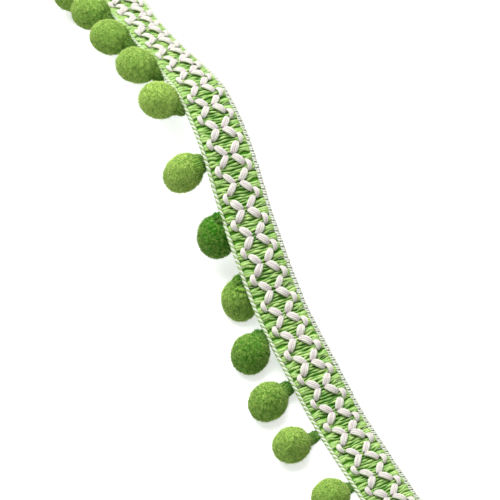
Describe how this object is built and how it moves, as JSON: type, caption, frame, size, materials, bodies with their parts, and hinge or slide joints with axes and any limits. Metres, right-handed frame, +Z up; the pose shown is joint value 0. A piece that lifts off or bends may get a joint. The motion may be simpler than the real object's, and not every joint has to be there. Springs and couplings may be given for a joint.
{
  "type": "pompom fringe trim",
  "caption": "Loose length of woven braid trim with two chain yarns, a plied cord edge and a fringe of small round pompoms, lying in one low arch.",
  "frame": {"origin": "middle of the footprint of the whole part, on the surface it rests on", "axes": "+X along the trim towards its flat end, +Y away from the fringe, +Z up"},
  "size_m": [0.2208, 0.0318, 0.0356],
  "materials": {
    "weft": "glossy viscose weft in bundles",
    "chain": "soft matt cotton floats",
    "cord": "two-ply cotton cord",
    "picot": "fine cotton loops",
    "pompom": "dense cropped acrylic pile"
  },
  "bodies": {
    "root": {"braid": "weft", "chain_left": "chain", "chain_right": "chain", "plied_cord": "cord", "picot": "picot", "pompom_01": "pompom", "pompom_02": "pompom", "pompom_03": "pompom", "pompom_04": "pompom", "pompom_05": "pompom", "pompom_06": "pompom", "pompom_07": "pompom", "pompom_08": "pompom", "pompom_09": "pompom", "pompom_10": "pompom", "pompom_11": "pompom", "pompom_12": "pompom", "pompom_13": "pompom", "pompom_14": "pompom"}
  },
  "joints": []
}
